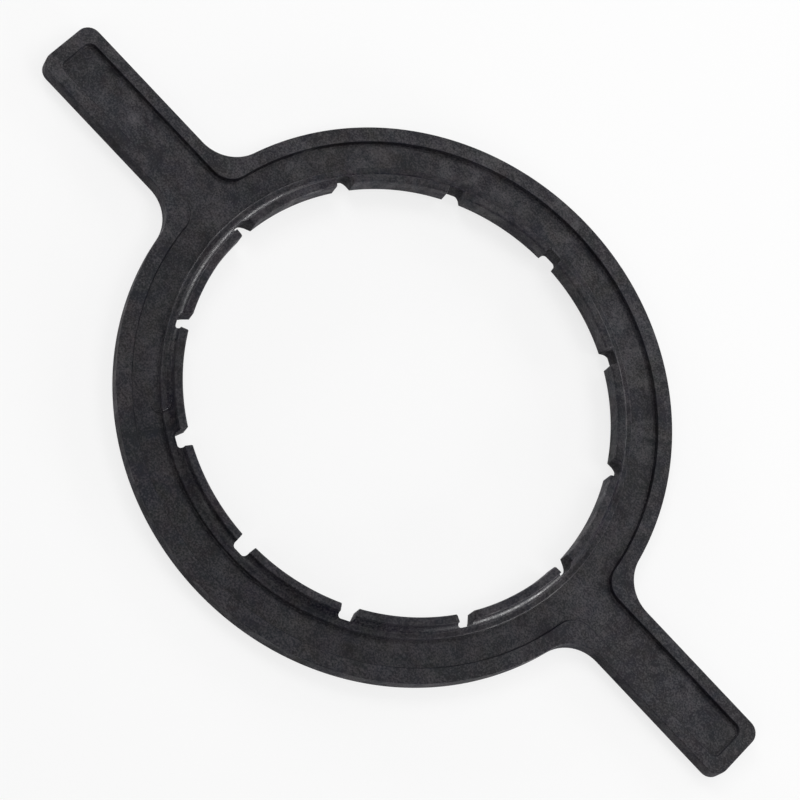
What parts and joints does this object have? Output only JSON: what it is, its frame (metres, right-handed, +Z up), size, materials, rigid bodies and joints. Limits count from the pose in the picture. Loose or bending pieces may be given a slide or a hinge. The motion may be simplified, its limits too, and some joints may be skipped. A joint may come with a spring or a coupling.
{
  "type": "filter housing wrench",
  "caption": "Flat ring wrench with two opposed handles and a raised, notched lip round its hole, for turning the threaded closure of a filter housing.",
  "frame": {"origin": "centre of the hole, on the flat underside", "axes": "+Z up along the ring's axis, towards the lip; +X along the handles; +Y across the ring"},
  "size_m": [0.4864, 0.288, 0.0151],
  "materials": {
    "black_plastic": "satin, faintly mottled, as moulded"
  },
  "bodies": {
    "root": {"wrench_body": "black_plastic"}
  },
  "joints": []
}
